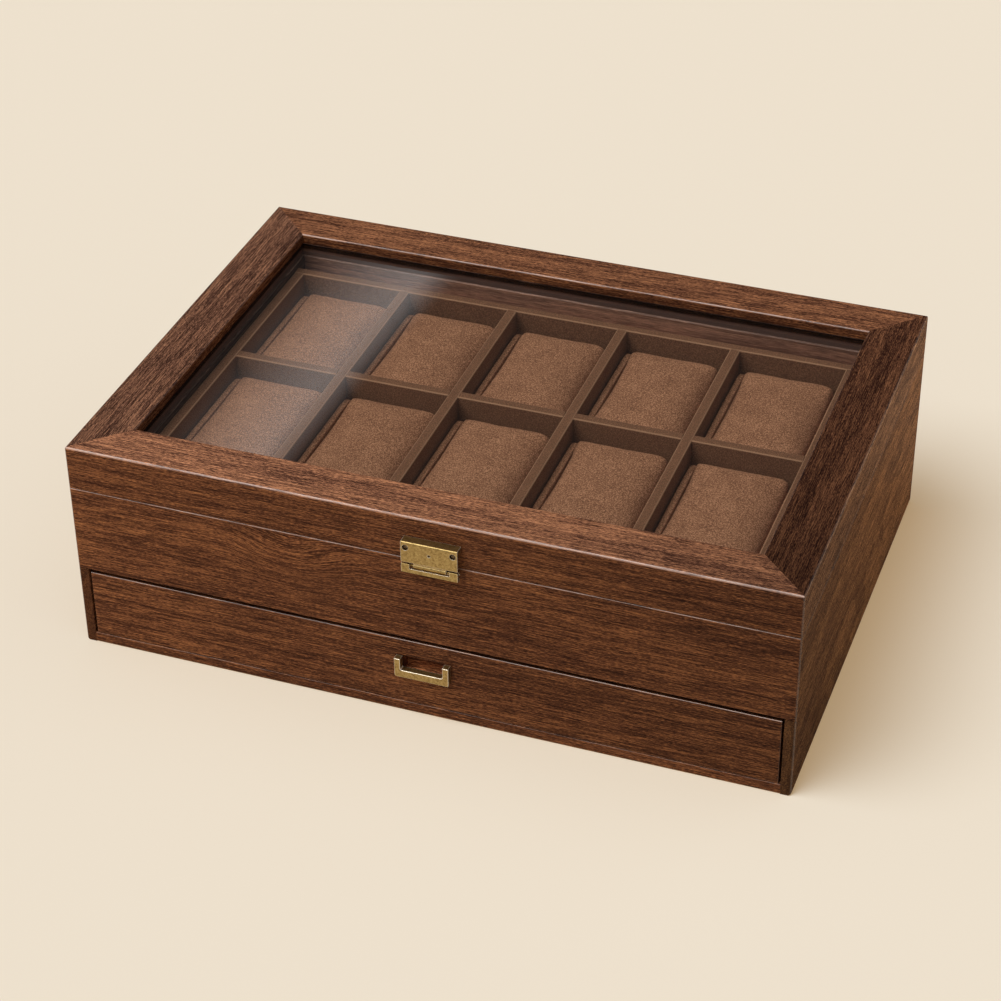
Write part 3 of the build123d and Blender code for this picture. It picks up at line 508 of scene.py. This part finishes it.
def suedeMaterial(name, look):
    # brushed microfibre suede: no gloss, a soft sheen at the edges and a fine speckle where the nap
    # lies both ways
    material, tree = newMaterial(name)
    place = addNode(tree, "ShaderNodeTexCoord")
    nap, patch = [addNode(tree, "ShaderNodeTexNoise", None, {
        "Vector": place.outputs["Object"], "Scale": 1 / (size * mm), "Detail": 2.0,
        "Roughness": rough}).outputs[0] for size, rough in ((look["napMm"], 0.6),
                                                            (look["patchMm"], 0.5))]
    mixed = addNode(tree, "ShaderNodeMath", multiplyAdd, {
        0: patch, 1: look["patchShare"], 2: nap}).outputs[0]
    even, spread = look["evenNap"], look["spread"]
    colour = addNode(tree, "ShaderNodeValToRGB", None, {"Fac": mixed}, [
        (even - spread, look["dark"]), (even, look["colour"]),
        (even + spread, look["light"])]).outputs["Color"]
    # the nap's light edges are a painted highlight on the walls and dividers
    if look["rubbedHighlight"] > 0:
        up = addNode(tree, "ShaderNodeSeparateXYZ", None, {0: place.outputs["Normal"]}).outputs["Z"]
        edge = look["rubbedHighlight"]
        for start, full in look["rubbedHighlightFrom"]:
            step = addNode(tree, "ShaderNodeMapRange", smooth, {
                "Value": up, "From Min": start, "From Max": full}).outputs[0]
            edge = addNode(tree, "ShaderNodeMath", multiply, {0: edge, 1: step}).outputs[0]
        colour = addNode(tree, "ShaderNodeMix", mixColours, {
            0: edge, 6: colour, 7: linearColour(look["rubbedHighlightColour"])}).outputs[2]
    bump = addNode(tree, "ShaderNodeBump", None, {
        "Strength": 0.6, "Distance": look["reliefMm"] * mm, "Height": nap}).outputs[0]
    cloth = addNode(tree, "ShaderNodeBsdfPrincipled", None, {
        "Base Color": colour, "Roughness": 0.95, "Normal": bump, "Specular IOR Level": 0.15,
        "Sheen Weight": look["sheen"], "Sheen Roughness": 0.5,
        "Sheen Tint": linearColour(look["light"])})
    addNode(tree, "ShaderNodeOutputMaterial", None, {"Surface": cloth.outputs[0]})
    return material


traySuede = suedeMaterial("brushedSuedeTray", traySuedeLook)
pillowSuede = suedeMaterial("brushedSuedePillow", pillowSuedeLook)
trayNames = ("tray_", "row_", "column_", "drawer_lining")
dress([node for node in nodes if node.startswith(trayNames)], traySuede)
dress([node for node in nodes if node.startswith("pillow_")], pillowSuede)
print("suede done")


pillowLook = {
    "capMm": 3.2,               # a stiff covered cap at each end of the roll
    "capDropMm": (3.2, 6.5),    # left and right cap below the crown of the pad
    "capSideMm": 1.1,           # and in from its front and back
    "capRimMm": 1.2,
    "startMm": 0.9,             # the pad starts this much smaller all round and swells
    "flatShare": 0.5,           # middle share of the roll that stays level
    "fallMm": (2.8, 8.0),       # beyond it the top falls ever more steeply to the left, right cap
    "fallPower": 2.3,
    "narrowShare": 0.1,         # and the roll grows narrower by this share of the fall
    "cornerHold": 0.97,         # less of that fall, and of the drawing in, near the front and back
    "drawMm": 0.3,              # ends drawn in between their corners
    "leanTurn": 2.4,            # the sine of this times its number makes a pad fuller at one end,
    "leanShare": 0.15,          # by this share of the fall
    "squareness": 11.0,         # section across the roll: 2 is an ellipse, more is squarer
    "padPoints": (120, 41),     # round the section and along the roll
    "capPoints": (96, 7),       # round the section and over the rim
    "voxelMm": 2.2,
    "steps": 20,
    "swellMm": 1.4,             # no point swells further than this
    "gluedMm": 2.5,             # and these ends are held where the caps are glued on
    "fill": 0.9,
}
pillowCloth = {                 # thin covering, blown up by pressure from inside
    "quality": 5,
    "mass": 0.0005,
    "tension_stiffness": 1.5,
    "compression_stiffness": 1.5,
    "shear_stiffness": 1.5,
    "bending_stiffness": 0.1,
    "use_pressure": True,
    "uniform_pressure_force": 30.0,
}


def squared(wave, power):
    # |wave| ** (2 / power) with the sign of the wave, which turns a circle into a squarer loop
    return np.sign(wave) * np.abs(wave) ** (2.0 / power)


def closedSkin(name, shells, smoothFaces=True):
    # a mesh of closed shells: each is an array of rings (ring, point, xyz) joined by quads, with a
    # face on each end
    points, faces, count = [], [], 0
    for rings in shells:
        rows, columns = rings.shape[:2]
        i, j = np.meshgrid(np.arange(rows - 1), np.arange(columns), indexing="ij")
        corner, beside = i * columns + j, i * columns + (j + 1) % columns
        quads = np.stack([corner, beside, beside + columns, corner + columns], axis=-1)
        first, last = np.arange(columns)[::-1], np.arange(columns) + (rows - 1) * columns
        faces += (quads.reshape(-1, 4) + count).tolist()
        faces += [(first + count).tolist(), (last + count).tolist()]
        points.append(rings.reshape(-1, 3))
        count += rows * columns
    mesh = bpy.data.meshes.new(name)
    mesh.from_pydata(np.concatenate(points).tolist(), [], faces)
    work = bmesh.new()
    work.from_mesh(mesh)
    bmesh.ops.recalc_face_normals(work, faces=work.faces)
    work.to_mesh(mesh)
    work.free()
    mesh.polygons.foreach_set("use_smooth", [smoothFaces] * len(mesh.polygons))
    piece = bpy.data.objects.new(name, mesh)
    scene.collection.objects.link(piece)
    return piece


def padRings(low, high, look, lean):
    # the pad between its caps. With u round the section and v from -1 to 1 along the roll:
    # y = Y squared(cos u), z = Z squared(sin u), x = X v; towards the ends the top falls by
    # F e^P (1 - H |y / Y|^3), where e grows from 0 at the level part to 1 at the cap, with less F
    # on the left, and the end is drawn in by D e (1 - (y / Y)^2). lean makes a pad fuller at one
    # end than the next.
    inset = look["startMm"] * mm
    low = np.array(low) + (look["capMm"] * mm, inset, 0.0)
    high = np.array(high) - (look["capMm"] * mm, inset, inset)
    middle, half = (low + high) / 2, (high - low) / 2
    u = np.linspace(0, 2 * np.pi, look["padPoints"][0], endpoint=False)
    v = np.sin(np.linspace(-np.pi / 2, np.pi / 2, look["padPoints"][1]))[:, None]
    across = squared(np.cos(u), look["squareness"])[None, :]
    upward = squared(np.sin(u), look["squareness"])[None, :]
    end = np.clip((np.abs(v) - look["flatShare"]) / (1 - look["flatShare"]), 0, 1)
    held = 1 - look["cornerHold"] * np.abs(across) ** 3
    fall = np.where(v < 0, *look["fallMm"]) * mm * end ** look["fallPower"] * held
    drawn = look["drawMm"] * mm * end * (1 - across ** 2)
    uneven = 1 + lean * v * look["leanShare"]
    x = middle[0] + half[0] * v - np.sign(v) * drawn
    y = middle[1] + (half[1] - look["narrowShare"] * fall) * across
    z = middle[2] + half[2] * upward - np.clip(upward, 0, 1) * fall * uneven
    return np.stack([x, y, z], axis=-1)


def capRings(low, high, look, side):
    # a stiff cap: the section of the roll, a little smaller. With t from 0 to 90 degrees its outer
    # rim is a quarter circle, R (1 - cos t) in and R sin t out, and the inner rim is half of that.
    thick, rim = look["capMm"] * mm, look["capRimMm"] * mm
    middleY, halfY = (low[1] + high[1]) / 2, (high[1] - low[1]) / 2 - look["capSideMm"] * mm
    top = high[2] - look["capDropMm"][side > 0] * mm
    middleZ, halfZ = (low[2] + top) / 2, (top - low[2]) / 2
    u = np.linspace(0, 2 * np.pi, look["capPoints"][0], endpoint=False)[None, :]
    turn = np.linspace(0, np.pi / 2, look["capPoints"][1])
    inner = turn[:-1][::-1]
    inset = np.concatenate([rim / 2 * (1 - np.cos(inner)), rim * (1 - np.cos(turn))])[:, None]
    depth = np.concatenate([rim / 2 * (1 - np.sin(inner)), thick - rim + rim * np.sin(turn)])
    face = high[0] - thick if side > 0 else low[0] + thick
    x = face + side * depth[:, None] + 0 * u
    y = middleY + (halfY - inset) * squared(np.cos(u), look["squareness"])
    z = middleZ + (halfZ - inset) * squared(np.sin(u), look["squareness"])
    return np.stack([x, y, z], axis=-1)


def remeshed(piece, voxel):
    # an even skin over the piece, applied to its mesh
    modifier = piece.modifiers.new("evenSkin", "REMESH")
    modifier.mode = "VOXEL"
    modifier.voxel_size = voxel
    modifier.use_smooth_shade = True
    evaluated = bpy.context.evaluated_depsgraph_get()
    skin = bpy.data.meshes.new_from_object(piece.evaluated_get(evaluated))
    piece.modifiers.clear()
    piece.data = skin
    return piece


def pointsOf(mesh):
    flat = np.empty(len(mesh.vertices) * 3)
    mesh.vertices.foreach_get("co", flat)
    return flat.reshape(-1, 3)


def swellPads(pads, look, clothLook):
    # all pads are blown up together as cloth with inner pressure, held round the ends where the
    # caps are glued on; then no point stays further than swellMm from where it began, and the
    # cloth is gone
    started = {}
    for pad in pads:
        start = pointsOf(pad.data)
        started[pad.name] = start
        along = start[:, 0]
        nearEnd = np.minimum(along - along.min(), along.max() - along) < look["gluedMm"] * mm
        group = pad.vertex_groups.new(name="gluedEnds")
        group.add(np.nonzero(nearEnd)[0].tolist(), 1.0, "REPLACE")
        cloth = pad.modifiers.new("cloth", "CLOTH")
        for name, value in clothLook.items():
            setattr(cloth.settings, name, value)
        cloth.settings.vertex_group_mass = group.name
        cloth.settings.effector_weights.gravity = 0.0
        cloth.point_cache.frame_end = look["steps"]
    for step in range(1, look["steps"] + 1):
        scene.frame_set(step)
    evaluated = bpy.context.evaluated_depsgraph_get()
    for pad in pads:
        blown = bpy.data.meshes.new_from_object(pad.evaluated_get(evaluated))
        start = started[pad.name]
        move = pointsOf(blown) - start
        far = np.linalg.norm(move, axis=1, keepdims=True)
        print(pad.name, "swells by", round(float(far.mean()) / mm, 2), "mm, most",
              round(float(far.max()) / mm, 2))
        kept = start + move * np.minimum(1.0, look["swellMm"] * mm / np.maximum(far, 1e-9))
        kept[:, 2] = np.maximum(kept[:, 2], start[:, 2].min())  # flat on the floor of the tray
        pad.modifiers.clear()
        pad.data.vertices.foreach_set("co", kept.ravel())
        pad.data.update()
        bpy.data.meshes.remove(blown)
    scene.frame_set(1)


def makePillows(look, clothLook):
    pads = []
    for number in range(1, 11):
        node = f"pillow_{number}"
        low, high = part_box(node)
        rings = padRings(low, high, look, math.sin(look["leanTurn"] * number))
        pad = remeshed(closedSkin(f"pillowPad_{number}", [rings]), look["voxelMm"] * mm)
        shells = [capRings(low, high, look, side) for side in (-1, 1)]
        caps = closedSkin(f"pillowCaps_{number}", shells)
        for piece in (pad, caps):
            piece.data.materials.clear()
            piece.data.materials.append(pillowSuede)
            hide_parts(node)
            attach(piece, f"pillow_body_{number}")
        pads.append(pad)
    swellPads(pads, look, clothLook)
    for pad in pads:
        soft = pad.modifiers.new("soft", "SUBSURF")
        soft.levels = soft.render_levels = 1


makePillows(pillowLook, pillowCloth)
print("pillows done")


beadLook = {                    # strip under the glass, stepped back above a ledge, with a seal of painted shade
    "lowMm": (17.0, 86.0),      # distance in from the outside of the lid, and height
    "highMm": (24.0, 100.0),
    "ledgeMm": 94.1,
    "backMm": 1.3,
    "roundMm": 0.3,
    "sealMm": 0.6,
    "sealShadeColour": "#57423b",
    "sealShadowColour": "#0a0706",      # painted shadow close under the glass
    "shadowFromMm": (97.0, 98.3),
    "arcPoints": 5,
    "start": (310, -55, 87),    # of the wood's pattern, and the strength of its colour
    "grey": (0.85, 0.7),
}
beadWood = dict(walnut, toneShift=-0.62, pores=0.3, wearAndHighlight=0.1, edgeCoat=0.12, roundMm=0.2, layers=[
    (130.0, 10.0, 2.0, 0.4), (26.0, 1.5, 3.0, 0.4), (11.0, 0.4, 2.0, 0.7), (4.0, 0.2, 1.0, 0.5)])
beadPairs = {                   # sides, grain, painted shade, and painted highlight on the ledge
    "glass_beads_long": (("front", "back"), "X", 2.1, 0.8),
    "glass_beads_short": (("left", "right"), "Y", 0.62, 1.6),
}


def mitredStrips(name, sides, profile):
    # a strip along each of these sides of the lid. The profile is given as distance in from the
    # outside and height, d and h: a strip on a long side runs from x = -(W - d) to W - d at
    # y = -(D - d) or D - d, which cuts its ends at 45 degrees; on a short side x and y change
    # places
    halfX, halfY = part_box("lid_front_rail")[1][0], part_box("lid_left_rail")[1][1]
    d, h = np.array(profile).T * mm
    shells = []
    for side in sides:
        sign = -1 if side in ("front", "left") else 1
        if side in ("front", "back"):
            ends = [[end * (halfX - d), sign * (halfY - d), h] for end in (-1, 1)]
        else:
            ends = [[sign * (halfX - d), end * (halfY - d), h] for end in (-1, 1)]
        shells.append(np.moveaxis(np.array(ends), 1, 2))
    return closedSkin(name, shells, smoothFaces=False)


def sealShadeMaterial(name, look):
    # dark matt tape, painted shade under the lip, darkest close under the glass as painted shadow
    material, tree = newMaterial(name)
    place = addNode(tree, "ShaderNodeTexCoord").outputs["Object"]
    height = addNode(tree, "ShaderNodeSeparateXYZ", None, {0: place}).outputs["Z"]
    start, full = look["shadowFromMm"]
    deep = addNode(tree, "ShaderNodeMapRange", smooth, {
        "Value": height, "From Min": start * mm, "From Max": full * mm}).outputs[0]
    colour = addNode(tree, "ShaderNodeMix", mixColours, {
        0: deep, 6: linearColour(look["sealShadeColour"]),
        7: linearColour(look["sealShadowColour"])}).outputs[2]
    tape = addNode(tree, "ShaderNodeBsdfPrincipled", None, {
        "Base Color": colour, "Roughness": 0.95, "Specular IOR Level": 0.1})
    addNode(tree, "ShaderNodeOutputMaterial", None, {"Surface": tape.outputs[0]})
    return material


def makeBeads(look, wood, pairs):
    # two profiles that meet on the ledge. Its arris is a quarter circle: r cos t across, r sin t up
    (outer, low), (inner, high) = look["lowMm"], look["highMm"]
    ledge, r = look["ledgeMm"], look["roundMm"]
    front = inner - look["backMm"]
    back = front - look["sealMm"]
    turn = np.linspace(0, np.pi / 2, look["arcPoints"])
    arc = list(zip(inner - r + r * np.cos(turn), ledge - r + r * np.sin(turn)))
    stepped = [(outer, low), (inner, low)] + arc + [(back, ledge), (back, high), (outer, high)]
    sealed = [(back, ledge), (front, ledge), (front, high), (back, high)]
    sealShade = sealShadeMaterial("sealPaintedShade", look)
    for node, (sides, grain, shade, topShade) in pairs.items():
        cut = dict(grain=grain, start=look["start"], shade=(shade, shade), topShade=topShade,
                   grey=look["grey"])
        strip = woodMaterial("satinWalnut_" + node, wood, cut)
        for name, profile, material in (("bead_", stepped, strip), ("shadedSeal_", sealed, sealShade)):
            piece = mitredStrips(name + grain, sides, profile)
            piece.data.materials.append(material)
            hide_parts(node)
            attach(piece, "lid")


makeBeads(beadLook, beadWood, beadPairs)
print("beads done")


brassLook = {
    "wornEdgeHighlight": "#fff0d8",        # cream of the edges: bare brass with a painted highlight
    "tones": [(0.3, "#836b3f"), (0.5, "#aa8f5c"), (0.78, "#c4ab72")],
    "cloudMm": 0.9,
    "edgeMm": 0.3,
    "edgeFrom": (0.985, 0.85),      # rounded normal along the flat one beside an edge and on it
    "filletFrom": (0.95, 0.82),     # largest part of the normal beside a fillet and on it
    "roughness": 0.42,
    "polish": 0.12,             # how much smoother an edge is
    "edgeHighlightMetal": 0.35,          # less metal on the edges, so their cream shows as a painted highlight
    "reliefMm": 0.06,
}
agedLook = dict(brassLook, tones=[(0.3, "#3d2e20"), (0.5, "#5b4630"), (0.78, "#7a6142")])


def antiqueBrass(name, look, filleted=False):
    # cast and stamped brass, darkened in a bath and rubbed back: mottled brown-gold faces and
    # edges of bare brass with a painted highlight, cream and less metallic
    material, tree = newMaterial(name)
    place = addNode(tree, "ShaderNodeTexCoord")
    cloud = addNode(tree, "ShaderNodeTexNoise", None, {
        "Vector": place.outputs["Object"], "Scale": 1 / (look["cloudMm"] * mm), "Detail": 3.0,
        "Roughness": 0.65}).outputs[0]
    colour = addNode(tree, "ShaderNodeValToRGB", None, {"Fac": cloud}, look["tones"]).outputs[0]
    rounded = addNode(tree, "ShaderNodeBevel", {"samples": 8}, {
        "Radius": look["edgeMm"] * mm}).outputs[0]
    flat = addNode(tree, "ShaderNodeNewGeometry").outputs["Normal"]
    same = addNode(tree, "ShaderNodeVectorMath", {"operation": "DOT_PRODUCT"}, {
        0: rounded, 1: flat}).outputs["Value"]
    wearAndHighlight = addNode(tree, "ShaderNodeMapRange", None, {
        "Value": same, "From Min": look["edgeFrom"][0],
        "From Max": look["edgeFrom"][1]}).outputs[0]
    if filleted:                # |normal| is one along an axis on a flat face and less on a fillet
        # the pull's fillets get the same painted highlight
        normal = addNode(tree, "ShaderNodeVectorMath", {"operation": "ABSOLUTE"}, {
            0: place.outputs["Normal"]}).outputs[0]
        normal = addNode(tree, "ShaderNodeSeparateXYZ", None, {0: normal})
        most = normal.outputs["X"]
        for axis in "YZ":
            most = addNode(tree, "ShaderNodeMath", maximum, {
                0: most, 1: normal.outputs[axis]}).outputs[0]
        start, full = look["filletFrom"]
        edge = addNode(tree, "ShaderNodeMapRange", None, {
            "Value": most, "From Min": start, "From Max": full}).outputs[0]
        wearAndHighlight = addNode(tree, "ShaderNodeMath", maximum, {0: wearAndHighlight, 1: edge}).outputs[0]
    colour = addNode(tree, "ShaderNodeMix", mixColours, {
        0: wearAndHighlight, 6: colour, 7: linearColour(look["wornEdgeHighlight"])}).outputs[2]
    rough, bare = [addNode(tree, "ShaderNodeMapRange", None, {
        "Value": wearAndHighlight, "To Min": face, "To Max": edge}).outputs[0] for face, edge in (
            (look["roughness"], look["roughness"] - look["polish"]), (1.0, look["edgeHighlightMetal"]))]
    bump = addNode(tree, "ShaderNodeBump", None, {
        "Strength": 0.25, "Distance": look["reliefMm"] * mm, "Height": cloud,
        "Normal": rounded}).outputs[0]
    metal = addNode(tree, "ShaderNodeBsdfPrincipled", None, {
        "Base Color": colour, "Metallic": bare, "Roughness": rough, "Normal": bump})
    addNode(tree, "ShaderNodeOutputMaterial", None, {"Surface": metal.outputs[0]})
    return material


glassLook = {"tint": "#fcfdfc", "shadowTint": "#f7f9f8", "bend": 1.5}


def floatGlass(name, look):
    # clear float glass, faintly green: bends and mirrors what the eye sees, lets the lamps through
    material, tree = newMaterial(name)
    pane = addNode(tree, "ShaderNodeBsdfPrincipled", None, {
        "Base Color": linearColour(look["tint"]), "Roughness": 0.0, "IOR": look["bend"],
        "Transmission Weight": 1.0})
    clear = addNode(tree, "ShaderNodeBsdfTransparent", None, {
        "Color": linearColour(look["shadowTint"])})
    path = addNode(tree, "ShaderNodeLightPath")
    lets = addNode(tree, "ShaderNodeMath", maximum, {
        0: path.outputs["Is Shadow Ray"], 1: path.outputs["Is Diffuse Ray"]}).outputs[0]
    mix = addNode(tree, "ShaderNodeMixShader", None, {
        0: lets, 1: pane.outputs[0], 2: clear.outputs[0]})
    addNode(tree, "ShaderNodeOutputMaterial", None, {"Surface": mix.outputs[0]})
    return material


zincLook = {"tones": [(0.35, "#8f908c"), (0.7, "#c2c3bf")], "cloudMm": 1.5, "roughness": 0.4}


def zincSteel(name, look):
    # zinc-plated steel screw: cool grey, faintly cloudy
    material, tree = newMaterial(name)
    place = addNode(tree, "ShaderNodeTexCoord").outputs["Object"]
    cloud = addNode(tree, "ShaderNodeTexNoise", None, {
        "Vector": place, "Scale": 1 / (look["cloudMm"] * mm), "Detail": 3.0}).outputs[0]
    colour = addNode(tree, "ShaderNodeValToRGB", None, {"Fac": cloud}, look["tones"]).outputs[0]
    metal = addNode(tree, "ShaderNodeBsdfPrincipled", None, {
        "Base Color": colour, "Metallic": 1.0, "Roughness": look["roughness"]})
    addNode(tree, "ShaderNodeOutputMaterial", None, {"Surface": metal.outputs[0]})
    return material


brassNames = ("latch_", "keeper_", "hinge_", "drawer_pull")
brass = antiqueBrass("antiqueBrass", brassLook)
aged = antiqueBrass("agedBrass", agedLook)      # heads that were never rubbed back
dress([node for node in nodes if node.startswith(brassNames)], brass)
dress(["latch_plate_nails", "keeper_nails", "latch_rivet"], aged)
dress(["drawer_pull"], antiqueBrass("antiqueBrassPull", brassLook, filleted=True))
dress(["drawer_stop_screws"], zincSteel("zincPlatedSteel", zincLook))
dress(["glass_pane"], floatGlass("clearFloatGlass", glassLook))
print("metal and glass done")


poplar = dict(                  # unstained poplar of the inner boards
    walnut, poreColour="#6b4e36", roughness=0.6, edgeCoat=0.0,
    tones=[(0.02, "#8a6a4c"), (0.38, "#a5835f"), (0.62, "#b8966f"), (0.95, "#c4a27b")])
innerBoards = {
    "drawer_left_side": dict(grain="Y", start=(120, 33, 71)),
    "drawer_right_side": dict(grain="Y", start=(120, 33, 71)),
    "drawer_back": dict(start=(63, 17, 29)),
    "drawer_bottom": dict(start=(63, 17, 29)),
    "deck_board": dict(start=(63, 17, 29)),
    "drawer_stops": dict(start=(63, 17, 29)),
}
for name, cut in innerBoards.items():
    dress([name], woodMaterial("plainPoplar_" + name, poplar, cut))
print("inner boards done")
